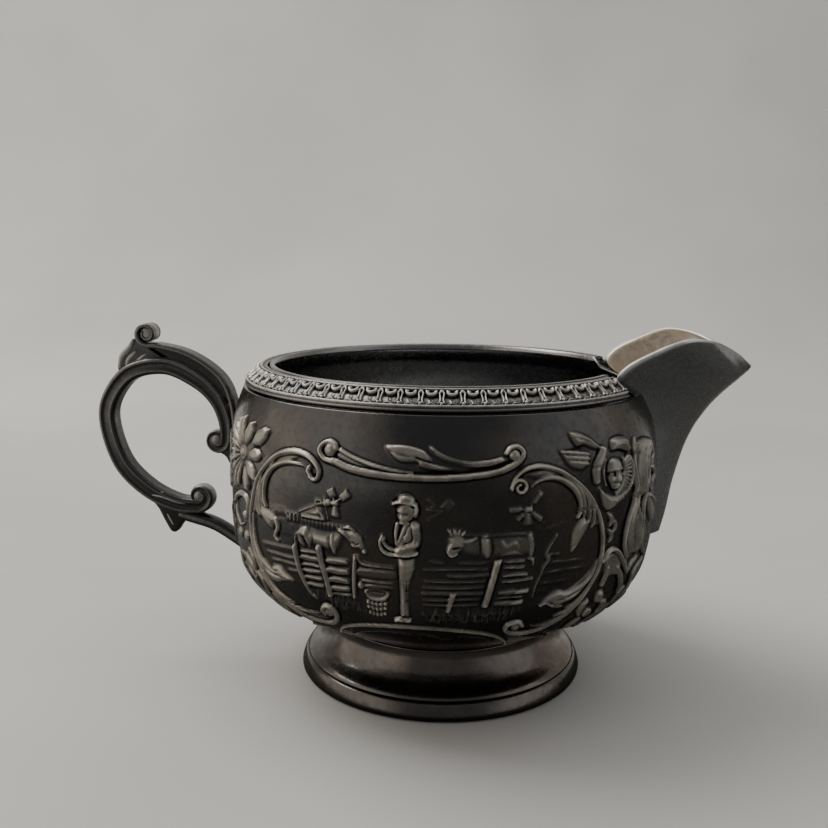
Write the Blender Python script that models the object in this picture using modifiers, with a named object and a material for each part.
"""A footed cream jug in tarnished silver plate, as eight soldered pieces.

The jug stands on z = 0 with its spout towards +X and its handle towards -X. Its bounding box is centred on
the Z axis, so the bowl's own axis lies BOWL_AXIS_X in front of it. Everything is built round the bowl's axis
and then carried by one empty at BOWL_AXIS_X.

A profile is a list of (radius, height), and an outline in the handle's plane a list of (x, height). Both are
in millimetres as written, and `metres` turns them into the script's metres.
"""

import math

import bmesh
import bpy
from mathutils import Vector

MM = 0.001

# Driving dimensions
SPOUT_REACH = 66.9 * MM  # from the bowl's axis to the spout's tip
HANDLE_REACH = 81.4 * MM  # from the bowl's axis to the back of the loop
BOWL_AXIS_X = (HANDLE_REACH - SPOUT_REACH) / 2
SHEET = 1.0 * MM  # thickness of the bowl, spout and foot
BORDER_SHEET = 1.2 * MM  # thickness of the rim border
GAP = 0.3 * MM  # solder gap between neighbouring pieces
BORDER_END_ANGLE = math.radians(27.5)  # half the angle that the spout takes out of the border
BEAD_INSET = 0.35 * MM  # from each edge of the border to the crest of its bead
BEAD_WIDTH = 0.8 * MM
BEAD_HEIGHT = 0.25 * MM
TURNED_STEPS = 64  # facets round the bowl, border, foot and wire
VOLUTE_STEPS = 24
PROFILE_STEPS = 2  # curve steps between two points of a turned profile or of the spout
STRAP_STEPS = 3  # curve steps between two points of the strap's or the strut's line
LOOP_STEPS = 4  # curve steps between two points of the loop's centre line
WELD = 0.001 * MM  # vertices closer than this become one
SHARP_ANGLE = math.radians(35)  # edges sharper than this keep a crisp shade

# Cutters reach past what they cut
CUTTER_REACH = 70 * MM
CUTTER_HALF_DEPTH = 20 * MM
NOTCH_CUTTER_X = 50 * MM

# Handle
LOOP_HALF_DEPTH = 2.0 * MM  # half the loop's thickness in the handle's plane
LOOP_HALF_WIDTH = 2.5 * MM  # half the loop's thickness across that plane
LOOP_CHAMFER = 0.9 * MM
STRAP_HALF_DEPTH = 0.6 * MM
STRAP_HALF_WIDTH = 2.6 * MM
STRAP_CHAMFER = 0.3 * MM
STRUT_HALF_DEPTH = 1.5 * MM
STRUT_HALF_WIDTH = 1.9 * MM
STRUT_CHAMFER = 0.5 * MM
WEB_HALF_WIDTH = 1.3 * MM
SPUR_HALF_WIDTH = 1.6 * MM
VOLUTE_RADIUS = 2.6 * MM
VOLUTE_HALF_WIDTH = 2.5 * MM
VOLUTE_CHAMFER = 0.5 * MM

# The bowl's outer side from the shoulder down to the axis
BODY = [
    (44.4, 66.2), (46.3, 61), (47.4, 54), (47.6, 47), (47.2, 36.5), (46.5, 31.5), (44.6, 26),
    (38.8, 20), (29.6, 15), (21.2, 11), (11, 7.6), (0, 6.6),
]
# The sloping neck under the border, with the plain lip that stands inside the border
NECK_OUTSIDE = [(37.8, 70.6), (38.75, 70.6), (38.8, 69.1), (42.9, 66.1)]
NECK_INSIDE = [(42.3, 65.1), (37.8, 68.5)]

BORDER_TOP = (39.8, 70.35)
BORDER_BOTTOM = (43.95, 67.41)

# The foot's cove from the bowl down to the wire
FOOT = [(25.8, 15.5), (25.4, 12), (26.0, 9.6), (27.3, 7.4), (29.0, 5.8), (30.4, 4.9), (30.9, 4.4)]
# The wire is widest near its flat underside and leans in towards the cove
FOOT_RIM_WIRE = [
    (28.4, 4.0), (30.6, 4.0), (31.1, 3.85), (31.6, 3.3), (32.1, 2.1), (32.4, 0.9), (32.2, 0.2),
    (31.7, 0), (28.4, 0),
]

# The spout's keel in the middle plane, from the tab low on the bowl up to the last fold before the tip
SPOUT_KEEL = [
    (48.9, 33.6), (50, 38.4), (51.2, 45.4), (53.2, 53), (55.1, 57.6), (56.9, 60.6), (58.6, 63),
    (60.2, 64.8), (61.6, 66.2), (63, 67.5), (64.3, 68.7), (65.3, 69.7), (66.1, 70.5),
]
# The spout's side edge that matches the keel point by point: (x, half width, height). It follows the seam on
# the bowl up to the rim, and then the mouth's lip out towards the tip.
SPOUT_EDGE = [
    (46.3, 3.5, 33.6), (46.4, 6.2, 38), (46.0, 8.4, 45.5), (45.5, 8.8, 54), (44.4, 9.5, 59.5),
    (41.6, 12.4, 65), (37.2, 16.2, 69.2), (38.6, 17.2, 72.2), (43.5, 16.8, 75.1), (50.0, 16.0, 77.8),
    (55.2, 12.2, 77.7), (59.4, 7.2, 76.2), (63.4, 3.0, 73.9),
]
SPOUT_TIP = (66.6, 0, 71.2)
SPOUT_ROUNDNESS = 0.75  # under 1 rounds the fold along the keel
SPOUT_COLUMNS = 7  # facets from the keel to the side edge
# Half of the notch in the bowl's wall under the spout, as (half width, height)
NOTCH = [
    (0, 47.5), (3.5, 48.5), (6.5, 53), (7.3, 58), (7.8, 63), (8.8, 66.3), (11, 67.5), (14, 68.2),
    (16, 70), (16, 80),
]

# The loop's centre line from its upper volute over the top to its lower volute: (x, height, thickness)
LOOP = [
    (-50.7, 50, 0.6), (-50.7, 55.5, 0.72), (-52.8, 60.9, 0.8), (-57.4, 65.3, 0.88), (-64.7, 68.4, 1),
    (-73.2, 66.8, 1), (-78.5, 60.6, 1), (-79.4, 54, 1), (-76.4, 44.9, 1), (-70.4, 38.8, 0.95),
    (-63.5, 35.5, 0.85), (-57.5, 35, 0.6),
]
UPPER_VOLUTE = (-52.9, 51.2)
LOWER_VOLUTE = (-57.6, 37.4)
THUMB_VOLUTE = (-68.9, 75.6)
UPPER_LEAF = [(-53.5, 49.2), (-51.0, 47.4), (-49.6, 45.4), (-47.0, 45.8), (-47.0, 52), (-51.5, 52)]
STRAP = [
    (-69.2, 73.1), (-66, 73), (-60, 71.6), (-54.6, 68.7), (-50.8, 65), (-48.9, 60), (-48.45, 54),
    (-48.6, 47.5),
]
WEB = [
    (-69.2, 73.1), (-66, 73), (-60, 71.6), (-54.6, 68.7), (-50.8, 65), (-49.2, 60), (-52.6, 61.2),
    (-57.2, 65.7), (-64.7, 68.4), (-72.8, 66.4), (-76.3, 66.4), (-76.4, 69.6), (-74.7, 72.3),
    (-72.6, 73.7), (-71.9, 75.2),
]
STRUT = [(-66.5, 33.6), (-61, 32.4), (-54.6, 30.7), (-49.6, 27.9), (-43, 23.4)]
SPUR = [(-67, 36), (-66.4, 32.6), (-65.2, 29.4), (-64.1, 28.6), (-63.1, 29.3), (-61.4, 32), (-60, 35)]


def metres(points):
    """The points with every coordinate turned from millimetres to metres."""
    return [tuple(value * MM for value in point) for point in points]


def smooth_path(points, steps):
    """A Catmull-Rom curve through the points, with this many steps between two of them."""
    vectors = [Vector(point) for point in points]
    ends = [2 * vectors[0] - vectors[1], *vectors, 2 * vectors[-1] - vectors[-2]]
    path = []
    for index in range(len(vectors) - 1):
        before, start, end, after = ends[index : index + 4]
        for step in range(steps):
            t = step / steps
            path.append(
                0.5
                * (
                    2 * start
                    + (end - before) * t
                    + (2 * before - 5 * start + 4 * end - after) * t**2
                    + (3 * start - before - 3 * end + after) * t**3
                )
            )
    path.append(vectors[-1])
    return path


def offset_path(path, distance):
    """The path moved to its left by this distance, seen with its first axis right and its second up."""
    moved = []
    for index, point in enumerate(path):
        before = path[max(index - 1, 0)]
        after = path[min(index + 1, len(path) - 1)]
        along = (Vector(after[:2]) - Vector(before[:2])).normalized()
        moved.append(Vector((point[0] - along.y * distance, point[1] + along.x * distance)))
    return moved


def clear_scene():
    """Empties the file."""
    for obj in list(bpy.data.objects):
        bpy.data.objects.remove(obj, do_unlink=True)


def new_collection(name):
    """A collection under the scene's own."""
    collection = bpy.data.collections.new(name)
    bpy.context.scene.collection.children.link(collection)
    return collection


def silver(name, colour, roughness):
    """A plain metal of this colour."""
    material = bpy.data.materials.new(name)
    material.use_nodes = True
    shader = material.node_tree.nodes["Principled BSDF"]
    shader.inputs["Base Color"].default_value = (*colour, 1)
    shader.inputs["Metallic"].default_value = 1.0
    shader.inputs["Roughness"].default_value = roughness
    return material


def add_object(name, data, collection):
    """A new object in the collection; without data it is an empty."""
    obj = bpy.data.objects.new(name, data)
    collection.objects.link(obj)
    return obj


def mesh_object(name, bm, collection):
    """A new object that takes over the bmesh's faces."""
    mesh = bpy.data.meshes.new(name)
    bm.to_mesh(mesh)
    bm.free()
    return add_object(name, mesh, collection)


def as_mesh(obj):
    """Replaces an object with one that holds its evaluated mesh, its loose caps welded and its faces outwards."""
    graph = bpy.context.evaluated_depsgraph_get()
    mesh = bpy.data.meshes.new_from_object(obj.evaluated_get(graph))
    bm = bmesh.new()
    bm.from_mesh(mesh)
    bmesh.ops.remove_doubles(bm, verts=bm.verts, dist=WELD)
    bmesh.ops.recalc_face_normals(bm, faces=bm.faces)
    bm.to_mesh(mesh)
    bm.free()
    name = obj.name
    collection = obj.users_collection[0]
    matrix = obj.matrix_world.copy()
    bpy.data.objects.remove(obj, do_unlink=True)
    replacement = add_object(name, mesh, collection)
    replacement.matrix_world = matrix
    return replacement


def turned(name, profile, collection):
    """A closed profile of (radius, height), outer side first and downwards, turned round the Z axis."""
    bm = bmesh.new()
    verts = [bm.verts.new((radius, 0, height)) for radius, height in profile]
    for index in range(len(verts)):
        if profile[index][0] > 0 or profile[index - 1][0] > 0:
            bm.edges.new((verts[index - 1], verts[index]))
    obj = mesh_object(name, bm, collection)
    screw = obj.modifiers.new("Turn", "SCREW")
    screw.steps = TURNED_STEPS
    screw.render_steps = TURNED_STEPS
    screw.use_merge_vertices = True
    screw.merge_threshold = WELD
    return obj


def poly_curve(name, points, radii, cyclic, collection):
    """A 2D curve of straight pieces in its own XY plane."""
    curve = bpy.data.curves.new(name, "CURVE")
    curve.dimensions = "2D"
    curve.fill_mode = "NONE"
    spline = curve.splines.new("POLY")
    spline.points.add(len(points) - 1)
    for target, point, radius in zip(spline.points, points, radii):
        target.co = (point[0], point[1], 0, 1)
        target.radius = radius
    spline.use_cyclic_u = cyclic
    return add_object(name, curve, collection)


def bar_section(name, half_depth, half_width, chamfer, collection):
    """A rectangle with its corners cut off, for a bar that is bent about its width."""
    inner_depth = half_depth - chamfer
    inner_width = half_width - chamfer
    corners = [
        (half_depth, -inner_width), (half_depth, inner_width), (inner_depth, half_width),
        (-inner_depth, half_width), (-half_depth, inner_width), (-half_depth, -inner_width),
        (-inner_depth, -half_width), (inner_depth, -half_width),
    ]
    section = poly_curve(name, corners, [1] * len(corners), True, collection)
    section.hide_render = True
    return section


def bent_bar(name, path, radii, section, collection):
    """The section swept along a path in the handle's plane, with filled ends."""
    bar = poly_curve(name, path, radii, False, collection)
    bar.data.bevel_mode = "OBJECT"
    bar.data.bevel_object = section
    bar.data.use_fill_caps = True
    bar.rotation_euler = (math.radians(90), 0, 0)
    bpy.context.view_layer.update()
    return as_mesh(bar)


def plate(name, outline, half_width, collection):
    """A flat outline in the handle's plane, extruded to both sides of it."""
    sheet = poly_curve(name, outline, [1] * len(outline), True, collection)
    sheet.data.fill_mode = "BOTH"
    sheet.data.extrude = half_width
    sheet.rotation_euler = (math.radians(90), 0, 0)
    bpy.context.view_layer.update()
    return as_mesh(sheet)


def volute(name, centre, growth, collection):
    """A rolled scroll end, as a short chamfered cylinder across the handle's plane."""
    bpy.ops.mesh.primitive_cylinder_add(
        vertices=VOLUTE_STEPS,
        radius=VOLUTE_RADIUS + growth,
        depth=2 * (VOLUTE_HALF_WIDTH + growth),
        location=(centre[0] * MM, 0, centre[1] * MM),
        rotation=(math.radians(90), 0, 0),
    )
    roll = bpy.context.object
    roll.name = name
    for owner in list(roll.users_collection):
        owner.objects.unlink(roll)
    collection.objects.link(roll)
    bevel = roll.modifiers.new("Chamfer", "BEVEL")
    bevel.width = VOLUTE_CHAMFER
    bevel.segments = 1
    return as_mesh(roll)


def boolean(obj, tool, operation):
    """Adds or subtracts the tool, which is then hidden."""
    modifier = obj.modifiers.new(tool.name, "BOOLEAN")
    modifier.operation = operation
    modifier.object = tool
    tool.hide_render = True
    tool.display_type = "WIRE"


def join(name, pieces, collection):
    """The pieces made one closed body by Boolean unions."""
    body = pieces[0]
    for piece in pieces[1:]:
        boolean(body, piece, "UNION")
    bpy.context.view_layer.update()
    body = as_mesh(body)
    body.name = name
    for piece in pieces[1:]:
        bpy.data.objects.remove(piece, do_unlink=True)
    for owner in list(body.users_collection):
        owner.objects.unlink(body)
    collection.objects.link(body)
    return body


def body_profile():
    """The bowl's outer side below its neck, down to the axis."""
    return smooth_path(metres(BODY), PROFILE_STEPS)


def bowl(parts):
    """The spun bowl: its body, its sloping neck under the border and its plain lip."""
    outside = body_profile()
    inside = offset_path(outside, -SHEET)
    inside[-1] = Vector((0, outside[-1][1] + SHEET))
    profile = [*metres(NECK_OUTSIDE), *outside, *reversed(inside[1:]), *metres(NECK_INSIDE)]
    return turned("bowl", profile, parts)


def bowl_clearance(cutters):
    """The bowl's outer shape grown by the solder gap, as a solid that trims whatever meets the bowl."""
    top = NECK_OUTSIDE[0][1] * MM + GAP
    outside = [Vector(point) for point in metres(NECK_OUTSIDE[1:])] + body_profile()
    grown = offset_path(outside, GAP)
    grown[0] = Vector((outside[0][0] + GAP, top))
    grown[-1] = Vector((0, outside[-1][1] - GAP))
    return turned("bowl_clearance", [(0, top), *grown], cutters)


def notch_cutter(cutters):
    """A prism along X whose outline is the notch in the bowl's wall."""
    half = metres(NOTCH)
    outline = half + [(-across, height) for across, height in reversed(half[1:])]
    prism = poly_curve("notch_cutter", outline, [1] * len(outline), True, cutters)
    prism.data.fill_mode = "BOTH"
    prism.data.extrude = CUTTER_HALF_DEPTH
    prism.rotation_euler = (math.radians(90), 0, math.radians(90))
    prism.location = (NOTCH_CUTTER_X, 0, 0)
    bpy.context.view_layer.update()
    return as_mesh(prism)


def rim_border(parts):
    """The applied border: a sloping band with a fine bead along both edges."""
    top = Vector(BORDER_TOP) * MM
    slope = Vector(BORDER_BOTTOM) * MM - top
    width = slope.length
    along = slope.normalized()
    out = Vector((-along.y, along.x))
    upper_half = [(0, -BORDER_SHEET), (0, 0), (BEAD_INSET, BEAD_HEIGHT), (BEAD_WIDTH, 0)]
    lower_half = [(width - step, lift) for step, lift in reversed(upper_half)]
    profile = [top + along * step + out * lift for step, lift in upper_half + lower_half]
    return turned("rim_border", profile, parts)


def border_cutter(cutters):
    """A wedge from the bowl's axis outwards that opens the border for the spout."""
    side = CUTTER_REACH * math.tan(BORDER_END_ANGLE)
    outline = [(0, 0), (CUTTER_REACH, -side), (CUTTER_REACH, side)]
    wedge = poly_curve("border_cutter", outline, [1] * len(outline), True, cutters)
    wedge.data.fill_mode = "BOTH"
    wedge.data.extrude = CUTTER_HALF_DEPTH
    wedge.location = (0, 0, BORDER_TOP[1] * MM)
    bpy.context.view_layer.update()
    return as_mesh(wedge)


def spout_row(keel, edge):
    """Points straight across one side of the spout, from its keel to its side edge."""
    row = []
    for column in range(SPOUT_COLUMNS + 1):
        across = column / SPOUT_COLUMNS
        point = keel.lerp(edge, across)
        point.y = edge.y * across**SPOUT_ROUNDNESS
        row.append(point)
    return row


def spout(parts):
    """The folded sheet beak, open on top, from its tab low on the bowl to its tip."""
    keel = smooth_path(metres([(x, 0, height) for x, height in SPOUT_KEEL]), PROFILE_STEPS)
    edge = smooth_path(metres(SPOUT_EDGE), PROFILE_STEPS)
    bm = bmesh.new()
    rows = [
        [bm.verts.new(point) for point in spout_row(keel_point, edge_point)]
        for keel_point, edge_point in zip(keel, edge)
    ]
    for lower, upper in zip(rows, rows[1:]):
        for left in range(SPOUT_COLUMNS):
            bm.faces.new((lower[left], lower[left + 1], upper[left + 1], upper[left]))
    tip = bm.verts.new(metres([SPOUT_TIP])[0])
    for left, right in zip(rows[-1], rows[-1][1:]):
        bm.faces.new((left, right, tip))
    beak = mesh_object("spout", bm, parts)
    mirror = beak.modifiers.new("Other half", "MIRROR")
    mirror.use_axis = (False, True, False)
    mirror.merge_threshold = WELD
    sheet = beak.modifiers.new("Sheet", "SOLIDIFY")
    sheet.thickness = SHEET
    sheet.offset = 0
    return beak


def foot(parts):
    """The hollow flared foot."""
    outside = smooth_path(metres(FOOT), PROFILE_STEPS)
    underside = outside[-1][1]
    inside = [Vector((radius, max(height, underside))) for radius, height in offset_path(outside, -SHEET)]
    return turned("foot", [*outside, *reversed(inside)], parts)


def foot_rim_wire(parts):
    """The bead round the foot, flat underneath where the jug rests."""
    outline = metres(FOOT_RIM_WIRE)
    return turned("foot_rim_wire", outline, parts)


def handle_loop(name, growth, parts, cutters):
    """The loop with its two volutes, grown all round by `growth` when it serves as a cutter."""
    path = smooth_path(metres([(x, height) for x, height, _ in LOOP]), LOOP_STEPS)
    radii = [point[0] for point in smooth_path([(size, 0) for _, _, size in LOOP], LOOP_STEPS)]
    section = bar_section(
        name + "_section", LOOP_HALF_DEPTH + growth, LOOP_HALF_WIDTH + growth, LOOP_CHAMFER, cutters
    )
    bar = bent_bar(name + "_bar", path, radii, section, cutters)
    upper = volute(name + "_upper_volute", UPPER_VOLUTE, growth, cutters)
    lower = volute(name + "_lower_volute", LOWER_VOLUTE, growth, cutters)
    return join(name, [bar, upper, lower], parts)


def handle_thumb_scroll(parts, cutters):
    """The strap along the loop's top with its thumb roll, the web under it and the leaf at its back."""
    section = bar_section("strap_section", STRAP_HALF_DEPTH, STRAP_HALF_WIDTH, STRAP_CHAMFER, cutters)
    path = smooth_path(metres(STRAP), STRAP_STEPS)
    strap = bent_bar("strap", path, [1] * len(path), section, cutters)
    roll = volute("thumb_roll", THUMB_VOLUTE, 0, cutters)
    web = plate("web", metres(WEB), WEB_HALF_WIDTH, cutters)
    leaf = plate("upper_leaf", metres(UPPER_LEAF), SPUR_HALF_WIDTH, cutters)
    return join("handle_thumb_scroll", [strap, roll, web, leaf], parts)


def handle_strut(parts, cutters):
    """The bar from the loop's lowest stretch to the bowl, with the spur under it."""
    section = bar_section("strut_section", STRUT_HALF_DEPTH, STRUT_HALF_WIDTH, STRUT_CHAMFER, cutters)
    path = smooth_path(metres(STRUT), STRAP_STEPS)
    bar = bent_bar("strut_bar", path, [1] * len(path), section, cutters)
    spur = plate("spur", metres(SPUR), SPUR_HALF_WIDTH, cutters)
    return join("handle_strut", [bar, spur], parts)


def build():
    """Makes the eight pieces, trims them clear of each other and hangs them on the carrier."""
    clear_scene()
    parts = new_collection("cream_jug")
    cutters = new_collection("cutters")

    clearance = bowl_clearance(cutters)
    jug_bowl = bowl(parts)
    boolean(jug_bowl, notch_cutter(cutters), "DIFFERENCE")
    border = rim_border(parts)
    boolean(border, border_cutter(cutters), "DIFFERENCE")
    beak = spout(parts)
    boolean(beak, clearance, "DIFFERENCE")
    jug_foot = foot(parts)
    boolean(jug_foot, clearance, "DIFFERENCE")
    wire = foot_rim_wire(parts)

    loop = handle_loop("handle_loop", 0, parts, cutters)
    loop_clearance = handle_loop("loop_clearance", GAP, cutters, cutters)
    thumb_scroll = handle_thumb_scroll(parts, cutters)
    strut = handle_strut(parts, cutters)
    boolean(loop, clearance, "DIFFERENCE")
    for piece in (thumb_scroll, strut):
        boolean(piece, loop_clearance, "DIFFERENCE")
        boolean(piece, clearance, "DIFFERENCE")

    finishes = [
        (jug_bowl, (0.16, 0.15, 0.14), 0.34),
        (border, (0.30, 0.29, 0.27), 0.30),
        (beak, (0.20, 0.19, 0.18), 0.32),
        (jug_foot, (0.17, 0.15, 0.13), 0.30),
        (wire, (0.24, 0.21, 0.19), 0.28),
        (loop, (0.14, 0.14, 0.14), 0.32),
        (thumb_scroll, (0.22, 0.22, 0.21), 0.28),
        (strut, (0.13, 0.13, 0.13), 0.34),
    ]
    carrier = add_object("jug_carrier", None, parts)
    carrier.location = (BOWL_AXIS_X, 0, 0)
    for piece, colour, roughness in finishes:
        piece.data.materials.clear()
        piece.data.materials.append(silver(piece.name + "_silver", colour, roughness))
        piece.data.shade_smooth()
        piece.data.set_sharp_from_angle(angle=SHARP_ANGLE)
    for obj in [*parts.objects, *cutters.objects]:
        if obj is not carrier:
            obj.parent = carrier


build()
